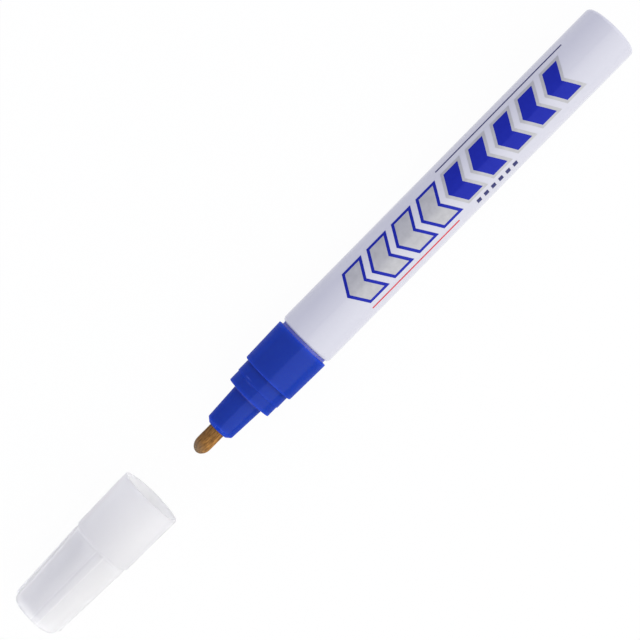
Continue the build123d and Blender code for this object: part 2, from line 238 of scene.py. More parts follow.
# Modelling helpers
def deselect():
    """Leaves edit mode and clears the selection."""
    if bpy.context.mode != "OBJECT":
        bpy.ops.object.mode_set(mode="OBJECT")
    bpy.ops.object.select_all(action="DESELECT")


def select_only(piece):
    """Makes a piece the one that operators act on."""
    deselect()
    piece.select_set(True)
    bpy.context.view_layer.objects.active = piece


def name_piece(piece, name):
    """Names a piece and its mesh."""
    piece.name = name
    piece.data.name = name


def begin_point(name, x, radius, angle=0):
    """A new mesh of one point in edit mode, at an angle from straight above the axis towards +Y."""
    deselect()
    place = (x, radius * sin(angle), AXIS_HEIGHT + radius * cos(angle))
    bpy.ops.mesh.primitive_plane_add(size=START_SIZE, location=place)
    piece = bpy.context.active_object
    name_piece(piece, name)
    bpy.ops.object.transform_apply(location=True, rotation=True, scale=True)
    bpy.ops.object.mode_set(mode="EDIT")
    bpy.ops.mesh.merge(type="CENTER")
    return piece


def draw_outline(points):
    """Draws on from the selected point through places given as x and radius."""
    for (x, radius), (next_x, next_radius) in zip(points, points[1:]):
        step = (next_x - x, 0, next_radius - radius)
        bpy.ops.mesh.extrude_vertices_move(TRANSFORM_OT_translate={"value": step})


def turn(angle, steps):
    """Spins what is drawn about the marker's axis, from straight above towards +Y."""
    bpy.ops.mesh.select_all(action="SELECT")
    bpy.ops.mesh.spin(steps=steps, angle=angle, center=AXIS_POINT, axis=LENGTHWISE)


def close_seams(merge_distance):
    """Merges doubles, points all faces outwards and leaves edit mode."""
    bpy.ops.mesh.select_all(action="SELECT")
    bpy.ops.mesh.remove_doubles(threshold=merge_distance)
    bpy.ops.mesh.normals_make_consistent(inside=False)
    bpy.ops.object.mode_set(mode="OBJECT")


def apply_modifiers(piece):
    """Applies the piece's modifiers in order."""
    bpy.context.view_layer.objects.active = piece
    for modifier in list(piece.modifiers):
        bpy.ops.object.modifier_apply(modifier=modifier.name)


def shade_round(piece):
    """Shades a piece smooth, apart from its sharp edges."""
    select_only(piece)
    bpy.ops.object.shade_smooth_by_angle(angle=SHARP_ANGLE)


def dress(piece, body, material):
    """Gives a new piece its body and its finish."""
    piece.data.materials.clear()
    piece.data.materials.append(material)
    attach(piece, body)


# Shader helpers
def set_sockets(node, values):
    """Sets a node's inputs by name."""
    for name, value in values.items():
        node.inputs[name].default_value = value


def feed(tree, socket, value):
    """Links a socket to another one, or sets it to a plain value."""
    if isinstance(value, bpy.types.NodeSocket):
        tree.links.new(value, socket)
    else:
        socket.default_value = value


def math_node(tree, operation, first, second, clamp=False):
    """A Math node whose inputs are sockets or plain numbers."""
    node = tree.nodes.new("ShaderNodeMath")
    node.operation = operation
    node.use_clamp = clamp
    feed(tree, node.inputs[0], first)
    feed(tree, node.inputs[1], second)
    return node.outputs[0]


def multiply_vectors(tree, first, second):
    """The product of two vectors or colours, part by part."""
    node = tree.nodes.new("ShaderNodeVectorMath")
    node.operation = "MULTIPLY"
    feed(tree, node.inputs[0], first)
    feed(tree, node.inputs[1], second)
    return node.outputs[0]


def mix_colours(tree, factor, first, second):
    """A colour Mix node whose inputs are sockets or plain values."""
    node = tree.nodes.new("ShaderNodeMix")
    node.data_type = "RGBA"
    for socket_index, value in zip(COLOUR_MIX_INPUTS, (factor, first, second)):
        feed(tree, node.inputs[socket_index], value)
    return node.outputs[COLOUR_MIX_OUTPUT]


def map_range(tree, value, start, end, first=0, last=1):
    """Carries a value's span over to another span, and holds it there past both ends."""
    node = tree.nodes.new("ShaderNodeMapRange")
    set_sockets(node, {"From Min": start, "From Max": end, "To Min": first, "To Max": last})
    tree.links.new(value, node.inputs["Value"])
    return node.outputs[0]


def fade_from(tree, value, middle, reach):
    """1 where a value is at the middle, falling evenly to 0 at the reach on either side."""
    away = math_node(tree, "ABSOLUTE", math_node(tree, "SUBTRACT", value, middle), 0)
    return math_node(tree, "SUBTRACT", 1, math_node(tree, "DIVIDE", away, reach), clamp=True)


def object_place(tree):
    """Object coordinates, whole and as X, Y and Z."""
    place = tree.nodes.new("ShaderNodeTexCoord").outputs["Object"]
    apart = tree.nodes.new("ShaderNodeSeparateXYZ")
    tree.links.new(place, apart.inputs[0])
    return place, apart.outputs


def angle_from_top(tree, apart):
    """The angle round the marker's axis, from straight above towards +Y."""
    height = math_node(tree, "SUBTRACT", apart["Z"], AXIS_HEIGHT)
    return math_node(tree, "ARCTAN2", apart["Y"], height)


def reach_from_axis(tree, place):
    """The distance from the marker's axis."""
    across = tree.nodes.new("ShaderNodeVectorMath")
    across.operation = "MULTIPLY_ADD"
    across.inputs[1].default_value = (0, 1, 1)
    across.inputs[2].default_value = (0, 0, -AXIS_HEIGHT)
    tree.links.new(place, across.inputs[0])
    reach = tree.nodes.new("ShaderNodeVectorMath")
    reach.operation = "LENGTH"
    tree.links.new(across.outputs[0], reach.inputs[0])
    return reach.outputs["Value"]


# Surface effects that the finishes share
def new_group(name, inputs, outputs):
    """An empty shader node group with named sockets, given as name, type and value."""
    group = bpy.data.node_groups.new(name, "ShaderNodeTree")
    for socket_name, socket_type, value in inputs:
        socket = group.interface.new_socket(socket_name, in_out="INPUT", socket_type=socket_type)
        socket.default_value = value
    for socket_name, socket_type in outputs:
        group.interface.new_socket(socket_name, in_out="OUTPUT", socket_type=socket_type)
    way_in = group.nodes.new("NodeGroupInput")
    way_out = group.nodes.new("NodeGroupOutput")
    return group, way_in, way_out


def stretched_place(group, lengthwise):
    """Object coordinates stretched along the marker."""
    place = group.nodes.new("ShaderNodeTexCoord")
    stretch = group.nodes.new("ShaderNodeCombineXYZ")
    set_sockets(stretch, {"Y": 1, "Z": 1})
    group.links.new(lengthwise, stretch.inputs["X"])
    return multiply_vectors(group, place.outputs["Object"], stretch.outputs[0])


def noise_of(group, place, cells, detail):
    """Noise of so many cells to the metre."""
    noise = group.nodes.new("ShaderNodeTexNoise")
    noise.inputs["Detail"].default_value = detail
    group.links.new(place, noise.inputs["Vector"])
    feed(group, noise.inputs["Scale"], cells)
    return noise.outputs["Fac"]


def make_mottle():
    """Soft uneven colour: a stretched noise that mixes two shades."""
    group, way_in, way_out = new_group(
        "mottle",
        (
            ("Shade", "NodeSocketColor", (0.5, 0.5, 0.5, 1)),
            ("Other Shade", "NodeSocketColor", (0.6, 0.6, 0.6, 1)),
            ("Cells", "NodeSocketFloat", 120.0),
            ("Lengthwise", "NodeSocketFloat", 1.0),
            ("Contrast", "NodeSocketFloat", 1.5),
        ),
        (("Colour", "NodeSocketColor"),),
    )
    place = stretched_place(group, way_in.outputs["Lengthwise"])
    noise = noise_of(group, place, way_in.outputs["Cells"], MOTTLE_DETAIL)
    centred = math_node(group, "SUBTRACT", noise, NOISE_MIDDLE)
    spread = math_node(group, "MULTIPLY", centred, way_in.outputs["Contrast"])
    mask = math_node(group, "ADD", spread, NOISE_MIDDLE, clamp=True)
    colour = mix_colours(group, mask, way_in.outputs["Shade"], way_in.outputs["Other Shade"])
    group.links.new(colour, way_out.inputs["Colour"])
    return group


def make_skin():
    """The feel of a surface: fine grain for a Bump's height, and a roughness that wanders a little."""
    group, way_in, way_out = new_group(
        "skin",
        (
            ("Grain Cells", "NodeSocketFloat", 1500.0),
            ("Lengthwise", "NodeSocketFloat", 1.0),
            ("Roughness", "NodeSocketFloat", 0.2),
            ("Roughness Drift", "NodeSocketFloat", 0.05),
        ),
        (("Height", "NodeSocketFloat"), ("Roughness", "NodeSocketFloat")),
    )
    place = stretched_place(group, way_in.outputs["Lengthwise"])
    grain = noise_of(group, place, way_in.outputs["Grain Cells"], GRAIN_DETAIL)
    broad = noise_of(group, place, DRIFT_CELLS, DRIFT_DETAIL)
    centred = math_node(group, "SUBTRACT", broad, NOISE_MIDDLE)
    drift = math_node(group, "MULTIPLY", centred, way_in.outputs["Roughness Drift"])
    roughness = math_node(group, "ADD", drift, way_in.outputs["Roughness"], clamp=True)
    group.links.new(grain, way_out.inputs["Height"])
    group.links.new(roughness, way_out.inputs["Roughness"])
    return group


MOTTLE = make_mottle()
SKIN = make_skin()


def place_group(tree, group, values):
    """Places a node group in a material with its own values."""
    node = tree.nodes.new("ShaderNodeGroup")
    node.node_tree = group
    set_sockets(node, values)
    return node


def finish_of(name, shade, other_shade, cells, lengthwise, contrast, roughness, drift, grain, bump):
    """A material with uneven colour, wandering roughness and a fine grain in its normal."""
    material = bpy.data.materials.new(name)
    material.use_nodes = True
    tree = material.node_tree
    shader = tree.nodes["Principled BSDF"]
    mottle = place_group(
        tree,
        MOTTLE,
        {
            "Shade": shade,
            "Other Shade": other_shade,
            "Cells": cells,
            "Lengthwise": lengthwise,
            "Contrast": contrast,
        },
    )
    skin = place_group(
        tree,
        SKIN,
        {
            "Grain Cells": grain,
            "Lengthwise": lengthwise,
            "Roughness": roughness,
            "Roughness Drift": drift,
        },
    )
    relief = tree.nodes.new("ShaderNodeBump")
    set_sockets(relief, {"Strength": bump, "Distance": GRAIN_DEPTH})
    tree.links.new(skin.outputs["Height"], relief.inputs["Height"])
    tree.links.new(mottle.outputs["Colour"], shader.inputs["Base Color"])
    tree.links.new(skin.outputs["Roughness"], shader.inputs["Roughness"])
    tree.links.new(relief.outputs["Normal"], shader.inputs["Normal"])
    return material, tree, shader, mottle.outputs["Colour"]


# Barrel lacquer
def speck_mask(tree):
    """A few dust specks caught in a finish: a mask of small round spots."""
    place = tree.nodes.new("ShaderNodeTexCoord")
    spots = tree.nodes.new("ShaderNodeTexVoronoi")
    spots.inputs["Scale"].default_value = SPECK_CELLS
    tree.links.new(place.outputs["Object"], spots.inputs["Vector"])
    return math_node(tree, "LESS_THAN", spots.outputs["Distance"], SPECK_SIZE)


def make_white_lacquer():
    """Satin-gloss lacquer with orange peel and a few specks."""
    material, tree, shader, mottled = finish_of(
        "white_lacquer",
        shade=(0.572, 0.574, 0.645, 1),
        other_shade=(0.598, 0.598, 0.664, 1),
        cells=90,
        lengthwise=0.5,
        contrast=1.6,
        roughness=0.12,
        drift=0.05,
        grain=1100,
        bump=0.04,
    )
    speckled = mix_colours(tree, speck_mask(tree), mottled, SPECK_GREY)
    tree.links.new(speckled, shader.inputs["Base Color"])
    return material


# Blue plastic
def painted_edge_light(tree, station):
    """A grey that says by station how strong the painted highlights on the blue edges and the painted shade
    at the roots are.
    """
    first = PAINTED_EDGE_LIGHT_RAMP[0][0]
    last = PAINTED_EDGE_LIGHT_RAMP[-1][0]
    ramp = tree.nodes.new("ShaderNodeValToRGB")
    stops = ramp.color_ramp.elements
    for inner_station, _ in PAINTED_EDGE_LIGHT_RAMP[1:-1]:
        stops.new((inner_station - first) / (last - first))
    for stop, (_, level) in zip(stops, PAINTED_EDGE_LIGHT_RAMP):
        stop.color = (level, level, level, 1)
    share = map_range(tree, station, MOUTH_X + first * MM, MOUTH_X + last * MM)
    tree.links.new(share, ramp.inputs["Fac"])
    return ramp.outputs["Color"]


def add_painted_glints(tree, apart, blue):
    """Lays the painted highlights, pale glints, over the blue."""
    angle = angle_from_top(tree, apart)
    for station, middle, half_arc, strength in PAINTED_GLINTS:
        # Painted highlight: a pale glint on a tier
        along = fade_from(tree, apart["X"], MOUTH_X + station, PAINTED_GLINT_HALF_LENGTH)
        around = fade_from(tree, angle, middle, half_arc)
        glint = math_node(tree, "MULTIPLY", math_node(tree, "MULTIPLY", along, around), strength)
        blue = mix_colours(tree, glint, blue, PAINTED_GLINT_BLUE)
    return blue


def blue_of_stations(tree, mottled):
    """The moulding's blue, with painted highlights on its edges, painted shade at its roots, a painted
    reflection at the nib holder's root, painted light in the neck groove, and painted glints on the tiers.
    """
    apart = object_place(tree)[1]
    # Painted highlights on the edges and painted shade at the roots, by station
    lifted = tree.nodes.new("ShaderNodeVectorMath")
    lifted.operation = "SCALE"
    lifted.inputs["Scale"].default_value = PAINTED_LIGHT_LIFT
    tree.links.new(multiply_vectors(tree, mottled, painted_edge_light(tree, apart["X"])), lifted.inputs[0])
    # Painted reflection: a pale line along the nib holder's root
    root = fade_from(tree, apart["X"], MOUTH_X + ROOT_STATION, ROOT_REACH)
    root_share = math_node(tree, "MULTIPLY", root, ROOT_REFLECTION_STRENGTH)
    root_reflected = mix_colours(tree, root_share, lifted.outputs[0], ROOT_PAINTED_REFLECTION_BLUE)
    # Painted light: the neck groove is painted pale violet where it would render in shade
    neck = math_node(tree, "GREATER_THAN", apart["X"], MOUTH_X + NECK_STATION)
    return add_painted_glints(tree, apart, mix_colours(tree, neck, root_reflected, NECK_PAINTED_LIGHT_BLUE))


def make_blue_plastic():
    """Polished blue moulding: a clear gloss that fades towards its rims, light that sinks in a little, and
    painted light and shade in its colour.
    """
    material, tree, shader, mottled = finish_of(
        "blue_plastic",
        shade=(0.0050, 0.0318, 0.328, 1),
        other_shade=(0.0068, 0.0368, 0.353, 1),
        cells=180,
        lengthwise=0.3,
        contrast=1.5,
        roughness=0.11,
        drift=0.03,
        grain=700,
        bump=0.02,
    )
    tree.links.new(blue_of_stations(tree, mottled), shader.inputs["Base Color"])
    set_sockets(
        shader,
        {
            "Specular Tint": (0.10, 0.25, 1.0, 1),
            "Specular IOR Level": 0,
            "Subsurface Weight": 0.35,
            "Subsurface Radius": (0.15, 0.35, 1.0),
            "Subsurface Scale": 0.8 * MM,
            "Coat Roughness": 0.06,
        },
    )
    facing = tree.nodes.new("ShaderNodeLayerWeight").outputs["Facing"]
    tree.links.new(map_range(tree, facing, *BLUE_GLOSS_FADE, *BLUE_GLOSS), shader.inputs["Coat Weight"])
    tree.links.new(map_range(tree, facing, *BLUE_METAL_FADE, *BLUE_METAL), shader.inputs["Metallic"])
    return material


# Nib fibre
def make_nib_fibre():
    """Bonded brown fibre: streaks along the rod, painted shade on its far side and a greyer nose."""
    material, tree, shader, mottled = finish_of(
        "nib_fibre",
        shade=(0.130, 0.056, 0.012, 1),
        other_shade=(0.470, 0.222, 0.055, 1),
        cells=2400,
        lengthwise=0.26,
        contrast=2.8,
        roughness=0.70,
        drift=0.2,
        grain=5200,
        bump=0.5,
    )
    apart = object_place(tree)[1]
    side = map_range(tree, apart["Y"], nib_low.y, nib_high.y)
    # Painted shade: darker towards the far side, away from the light
    far_side_shaded = mix_colours(tree, math_node(tree, "MULTIPLY", side, FAR_SIDE_SHADE_STRENGTH), mottled, FAR_SIDE_PAINTED_SHADE)
    grey_start = nib_low.x + NOSE_GREY_START
    grey_end = nib_low.x + NOSE_GREY_END
    nose = map_range(tree, apart["X"], grey_start, grey_end, NOSE_GREY_STRENGTH, 0)
    grey = math_node(tree, "MULTIPLY", nose, math_node(tree, "ADD", side, NOSE_GREY_LEAST, clamp=True))
    greyed = mix_colours(tree, grey, far_side_shaded, NOSE_GREY)
    tree.links.new(greyed, shader.inputs["Base Color"])
    shader.inputs["Specular IOR Level"].default_value = 0.12
    return material


# Cap plastic
def paint_rib_shade_and_highlights(tree, apart, beyond_step, colour):
    """Painted shade on the tops and painted highlights on the edges of the ribs beyond the cap's step."""
    half_angle = CAP_RIB_HALF_WIDTH / CAP_RIB_RADIUS
    turned = math_node(tree, "ADD", angle_from_top(tree, apart), CAP_RIB_TURN)
    from_rib = math_node(tree, "PINGPONG", turned, CAP_RIB_PITCH / 2)
    on_rib = math_node(tree, "MULTIPLY", math_node(tree, "LESS_THAN", from_rib, half_angle), beyond_step)
    # Painted shade on the rib tops
    rib_shaded = mix_colours(tree, math_node(tree, "MULTIPLY", on_rib, CAP_RIB_SHADE_STRENGTH), colour, CAP_RIB_PAINTED_SHADE)
    # Painted highlights along the rib edges
    highlight_line = fade_from(tree, from_rib, half_angle, CAP_RIB_HIGHLIGHT_REACH / CAP_RIB_RADIUS)
    rib_highlight = math_node(tree, "MULTIPLY", highlight_line, beyond_step)
    highlight_share = math_node(tree, "MULTIPLY", rib_highlight, CAP_RIB_HIGHLIGHT_STRENGTH)
    return mix_colours(tree, highlight_share, rib_shaded, CAP_RIB_PAINTED_HIGHLIGHT)


def white_of_cap(tree, mottled):
    """The cap's white, with painted light beyond the step and in the bore, and painted shade and highlights
    on its ribs.
    """
    place, apart = object_place(tree)
    beyond_step = math_node(tree, "LESS_THAN", apart["X"], CAP_MOUTH_X - CAP_STEP_DEPTH)
    # Painted light: the narrow part beyond the step is painted paler
    narrow_share = math_node(tree, "MULTIPLY", beyond_step, CAP_NARROW_LIGHT_STRENGTH)
    narrow = mix_colours(tree, narrow_share, mottled, CAP_NARROW_PAINTED_LIGHT)
    ribbed = paint_rib_shade_and_highlights(tree, apart, beyond_step, narrow)
    # Painted light: the bore near the mouth is painted paler where it renders in shade
    near_axis = math_node(tree, "LESS_THAN", reach_from_axis(tree, place), CAP_BORE_REACH)
    near_mouth = math_node(tree, "GREATER_THAN", apart["X"], CAP_MOUTH_X - CAP_BORE_DEPTH)
    bore = math_node(tree, "MULTIPLY", near_axis, near_mouth)
    return mix_colours(tree, bore, ribbed, CAP_BORE_PAINTED_LIGHT)


def make_cap_plastic():
    """Milky see-through plastic under a satin skin."""
    material, tree, shader, mottled = finish_of(
        "cap_plastic",
        shade=(0.816, 0.811, 0.822, 1),
        other_shade=(0.846, 0.841, 0.851, 1),
        cells=120,
        lengthwise=0.4,
        contrast=1.6,
        roughness=0.50,
        drift=0.08,
        grain=900,
        bump=0.05,
    )
    tree.links.new(white_of_cap(tree, mottled), shader.inputs["Base Color"])
    set_sockets(
        shader,
        {
            "IOR": 1.02,
            "Transmission Weight": 0.6,
            "Subsurface Weight": 1.0,
            "Subsurface Radius": (1.0, 1.0, 1.0),
            "Subsurface Scale": 2.5 * MM,
            "Coat Weight": 0.2,
            "Coat Roughness": 0.3,
        },
    )
    return material


# Finishes of the hidden pieces
def make_liner_plastic():
    """Natural matte plastic of the inner cap."""
    material, _, shader, _ = finish_of(
        "liner_plastic",
        shade=(0.930, 0.930, 0.935, 1),
        other_shade=(0.955, 0.955, 0.958, 1),
        cells=200,
        lengthwise=0.5,
        contrast=1.5,
        roughness=0.45,
        drift=0.1,
        grain=1400,
        bump=0.08,
    )
    set_sockets(
        shader,
        {
            "Subsurface Weight": 0.6,
            "Subsurface Radius": (1.0, 1.0, 1.0),
            "Subsurface Scale": 2.0 * MM,
        },
    )
    return material


def make_valve_plastic():
    """Natural white engineering plastic of the valve."""
    return finish_of(
        "valve_plastic",
        shade=(0.70, 0.70, 0.66, 1),
        other_shade=(0.76, 0.76, 0.72, 1),
        cells=350,
        lengthwise=0.6,
        contrast=1.5,
        roughness=0.40,
        drift=0.12,
        grain=1800,
        bump=0.10,
    )[0]


def make_seal_rubber():
    """Black rubber with a grey bloom."""
    return finish_of(
        "seal_rubber",
        shade=(0.018, 0.018, 0.019, 1),
        other_shade=(0.040, 0.040, 0.042, 1),
        cells=900,
        lengthwise=1.0,
        contrast=1.8,
        roughness=0.65,
        drift=0.2,
        grain=4000,
        bump=0.2,
    )[0]


def make_spring_steel():
    """Drawn stainless wire."""
    material, _, shader, _ = finish_of(
        "spring_steel",
        shade=(0.50, 0.50, 0.52, 1),
        other_shade=(0.60, 0.60, 0.61, 1),
        cells=1600,
        lengthwise=1.0,
        contrast=1.6,
        roughness=0.28,
        drift=0.15,
        grain=6000,
        bump=0.12,
    )
    shader.inputs["Metallic"].default_value = 1
    return material


def make_ball_steel():
    """Polished ball with faint scuffs."""
    material, _, shader, _ = finish_of(
        "ball_steel",
        shade=(0.62, 0.62, 0.64, 1),
        other_shade=(0.68, 0.68, 0.69, 1),
        cells=700,
        lengthwise=1.0,
        contrast=1.8,
        roughness=0.12,
        drift=0.12,
        grain=3000,
        bump=0.05,
    )
    shader.inputs["Metallic"].default_value = 1
    return material


# Printing inks
def make_ink(name, shade, other_shade, roughness, metallic, gloss):
    """Printing ink: even, with a trace of the screen it was printed through."""
    material, _, shader, _ = finish_of(
        name,
        shade=shade,
        other_shade=other_shade,
        cells=700,
        lengthwise=1.0,
        contrast=1.6,
        roughness=roughness,
        drift=0.06,
        grain=2400,
        bump=0.04,
    )
    set_sockets(shader, {"Metallic": metallic, "Specular IOR Level": gloss})
    return material


# Fibre nib
def nib_outline():
    """The nib's half outline from its rear to its tip, with rings where the grooves show."""
    radius = (nib_high.y - nib_low.y) / 2
    nose_end = nib_low.x + NIB_NOSE
    fine_end = nose_end + NIB_FINE_LENGTH
    rings = round(NIB_FINE_LENGTH / NIB_RING_GAP)
    outline = [(nib_high.x, 0), (nib_high.x, radius), (fine_end, radius)]
    outline += [(fine_end - NIB_RING_GAP * ring, radius) for ring in range(1, rings)]
    for ring in range(NOSE_RINGS):
        angle = pi / 2 * ring / NOSE_RINGS
        outline.append((nose_end - NIB_NOSE * sin(angle), radius * cos(angle)))
    outline.append((nib_low.x, 0))
    return outline


def groove_fibres(piece):
    """Presses the grooves between long thin fibres into a piece."""
    deselect()
    bpy.ops.object.empty_add(location=AXIS_POINT)
    bundle = bpy.context.active_object
    bundle.scale = (FIBRE_LENGTH, FIBRE_WIDTH, FIBRE_WIDTH)
    bpy.context.view_layer.update()
    strands = bpy.data.textures.new("strands", "CLOUDS")
    strands.noise_scale = 1
    strands.noise_depth = FIBRE_NOISE_DEPTH
    grooves = piece.modifiers.new("grooves", "DISPLACE")
    grooves.texture = strands
    grooves.texture_coords = "OBJECT"
    grooves.texture_coords_object = bundle
    grooves.strength = FIBRE_DEPTH
    grooves.mid_level = 1 - FIBRE_PROUD_SHARE
    apply_modifiers(piece)
    bpy.data.objects.remove(bundle)
    bpy.data.textures.remove(strands)


def make_fibre_nib():
    """The nib with the grooves between its fibres, in place of the plain rod."""
    outline = nib_outline()
    piece = begin_point("nib_fibres", *outline[0])
    draw_outline(outline)
    turn(2 * pi, NIB_TURN_STEPS)
    close_seams(SEAM_GAP)
    groove_fibres(piece)
    shade_round(piece)
    return piece


# Valve spring
def make_spring_coil():
    """The spring's wire, wound from the stem's head to the retainer."""
    coil_radius = (spring_high.y - spring_low.y - SPRING_WIRE) / 2
    coil_length = spring_high.x - spring_low.x - SPRING_WIRE
    deselect()
    bpy.ops.object.empty_add(location=AXIS_POINT)
    middle = bpy.context.active_object
    deselect()
    place = (spring_low.x + SPRING_WIRE / 2, coil_radius, AXIS_HEIGHT)
    bpy.ops.mesh.primitive_circle_add(vertices=WIRE_SIDES, radius=SPRING_WIRE / 2, location=place)
    piece = bpy.context.active_object
    name_piece(piece, "spring_coil")
    bpy.ops.object.transform_apply(location=True, rotation=True, scale=True)
    winding = piece.modifiers.new("winding", "SCREW")
    winding.object = middle
    winding.axis = "X"
    winding.angle = 2 * pi
    winding.screw_offset = coil_length / SPRING_TURNS
    winding.iterations = SPRING_TURNS
    winding.steps = COIL_STEPS
    winding.render_steps = COIL_STEPS
    apply_modifiers(piece)
    bpy.data.objects.remove(middle)
    bpy.ops.object.mode_set(mode="EDIT")
    bpy.ops.mesh.select_all(action="SELECT")
    bpy.ops.mesh.fill_holes(sides=WIRE_SIDES)
    close_seams(SEAM_GAP)
    shade_round(piece)
    return piece


# Cap moulding
def make_cap_moulding():
    """The cap's shell with the softly rounded corners of a moulding, in place of its plain solid."""
    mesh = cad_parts["cap_shell"].data.copy()
    piece = bpy.data.objects.new("cap_moulding", mesh)
    name_piece(piece, "cap_moulding")
    bpy.context.collection.objects.link(piece)
    select_only(piece)
    bpy.ops.object.mode_set(mode="EDIT")
    bpy.ops.mesh.select_all(action="SELECT")
    bpy.ops.mesh.remove_doubles(threshold=SEAM_GAP)
    bpy.ops.object.mode_set(mode="OBJECT")
    grid = piece.modifiers.new("grid", "REMESH")
    grid.mode = "VOXEL"
    grid.voxel_size = CAP_GRID
    soften = piece.modifiers.new("soften", "SMOOTH")
    soften.factor = CAP_SOFTNESS
    soften.iterations = CAP_SOFT_ROUNDS
    apply_modifiers(piece)
    bpy.ops.object.shade_smooth()
    return piece


# Barrel print
def ink_strip(name, start_x, end_x, arc_from, arc_to, lift):
    """A strip of ink on the barrel between two places along it and two arcs from its top line."""
    radius = BARREL_RADIUS + lift
    piece = begin_point(name, start_x, radius, arc_from / BARREL_RADIUS)
    draw_outline([(start_x, radius), (end_x, radius)])
    turn((arc_to - arc_from) / BARREL_RADIUS, INK_STEPS)
    return piece


def thicken_ink(piece):
    """Gives a printed shape the thickness of its film."""
    close_seams(INK_SEAM_GAP)
    film = piece.modifiers.new("film", "SOLIDIFY")
    film.thickness = INK_FILM
    film.offset = 0
    apply_modifiers(piece)


def ink_bar(name, start_x, end_x, arc, width):
    """A finished bar of ink along the barrel, about an arc from its top line."""
    piece = ink_strip(name, start_x, end_x, arc - width / 2, arc + width / 2, INK_FILM)
    thicken_ink(piece)
    return piece


def ink_chevron(name, tip_x, width, reach, lift):
    """One chevron: an arm is cut slantwise from a strip, then mirrored across the barrel's top line."""
    far_x = tip_x + width + reach * CHEVRON_SLANT
    piece = ink_strip(name, tip_x, far_x, 0, reach, lift)
    for cut_x, inner in ((tip_x, False), (tip_x + width, True)):
        bpy.ops.mesh.select_all(action="SELECT")
        bpy.ops.mesh.bisect(
            plane_co=(cut_x, 0, AXIS_HEIGHT),
            plane_no=(1, -CHEVRON_SLANT, 0),
            clear_inner=not inner,
            clear_outer=inner,
        )
    bpy.ops.object.mode_set(mode="OBJECT")
    other_arm = piece.modifiers.new("other_arm", "MIRROR")
    other_arm.use_axis = (False, True, False)
    other_arm.merge_threshold = INK_SEAM_GAP
    apply_modifiers(piece)
    bpy.ops.object.mode_set(mode="EDIT")
    thicken_ink(piece)
    return piece


def repeat_ink(piece, count, pitch):
    """Repeats a printed shape along the barrel."""
    row = piece.modifiers.new("row", "ARRAY")
    row.use_relative_offset = False
    row.use_constant_offset = True
    row.constant_offset_displace = (pitch, 0, 0)
    row.count = count
    apply_modifiers(piece)


def print_chevrons(first, count, fill, fill_ink, edge, edge_ink):
    """Prints a row of like chevrons, each a fill on a wider shape that shows as its edge."""
    tip_x = MOUTH_X + FIRST_CHEVRON + first * CHEVRON_PITCH
    margin = CHEVRON_OUTLINE * (1 + CHEVRON_SLANT**2) ** 0.5
    fill_width = CHEVRON_WIDTH - 2 * margin
    fill_reach = CHEVRON_REACH - CHEVRON_OUTLINE
    edges = ink_chevron(f"print_{edge}_edges", tip_x, CHEVRON_WIDTH, CHEVRON_REACH, INK_FILM)
    fills = ink_chevron(f"print_{fill}_fills", tip_x + margin, fill_width, fill_reach, 2 * INK_FILM)
    for piece, ink in ((edges, edge_ink), (fills, fill_ink)):
        repeat_ink(piece, count, CHEVRON_PITCH)
        dress(piece, "marker", ink)


def print_fine_lines(red_ink, navy_ink):
    """Prints a red line on the near side, a navy one on the far side and a row of navy pips."""
    red_start, red_end = RED_LINE
    red = ink_bar("print_red_line", MOUTH_X + red_start, MOUTH_X + red_end, -FINE_LINE_ARC, FINE_LINE)
    dress(red, "marker", red_ink)
    navy_start, navy_end = NAVY_LINE
    navy = ink_bar("print_navy_line", MOUTH_X + navy_start, MOUTH_X + navy_end, FINE_LINE_ARC, FINE_LINE)
    dress(navy, "marker", navy_ink)
    first_pip = MOUTH_X + FIRST_PIP
    pips = ink_bar("print_navy_pips", first_pip, first_pip + PIP_SIZE, -FINE_LINE_ARC, PIP_SIZE)
    repeat_ink(pips, PIP_COUNT, PIP_PITCH)
    dress(pips, "marker", navy_ink)


# Dress the object
valve_plastic = make_valve_plastic()
node_finishes = {
    "barrel": make_white_lacquer(),
    "front_section": make_blue_plastic(),
    "valve_body": valve_plastic,
    "valve_stem": valve_plastic,
    "valve_washer": make_seal_rubber(),
    "spring_retainer": valve_plastic,
    "stirring_ball": make_ball_steel(),
    "inner_cap": make_liner_plastic(),
}
for node_name, material in node_finishes.items():
    node_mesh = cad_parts[node_name].data
    node_mesh.materials.clear()
    node_mesh.materials.append(material)

nib_piece = make_fibre_nib()
dress(nib_piece, "nib_and_stem", make_nib_fibre())
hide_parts("nib")

cap_piece = make_cap_moulding()
dress(cap_piece, "cap", make_cap_plastic())
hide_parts("cap_shell")

spring_piece = make_spring_coil()
dress(spring_piece, "marker", make_spring_steel())
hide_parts("valve_spring")
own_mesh(spring_piece)

blue_ink = make_ink(
    "blue_ink",
    shade=(0.004, 0.013, 0.330, 1),
    other_shade=(0.007, 0.018, 0.370, 1),
    roughness=0.12,
    metallic=0.25,
    gloss=0.25,
)
silver_ink = make_ink(
    "silver_ink",
    shade=(0.40, 0.40, 0.42, 1),
    other_shade=(0.50, 0.50, 0.52, 1),
    roughness=0.30,
    metallic=0.3,
    gloss=0.5,
)
red_ink = make_ink(
    "red_ink",
    shade=(0.58, 0.022, 0.045, 1),
    other_shade=(0.66, 0.035, 0.060, 1),
    roughness=0.16,
    metallic=0,
    gloss=0.3,
)
navy_ink = make_ink(
    "navy_ink",
    shade=(0.018, 0.022, 0.120, 1),
    other_shade=(0.028, 0.032, 0.150, 1),
    roughness=0.16,
    metallic=0,
    gloss=0.3,
)
print_chevrons(0, SILVER_CHEVRONS, "silver", silver_ink, "blue", blue_ink)
print_chevrons(SILVER_CHEVRONS, BLUE_CHEVRONS, "blue", blue_ink, "silver", silver_ink)
print_fine_lines(red_ink, navy_ink)


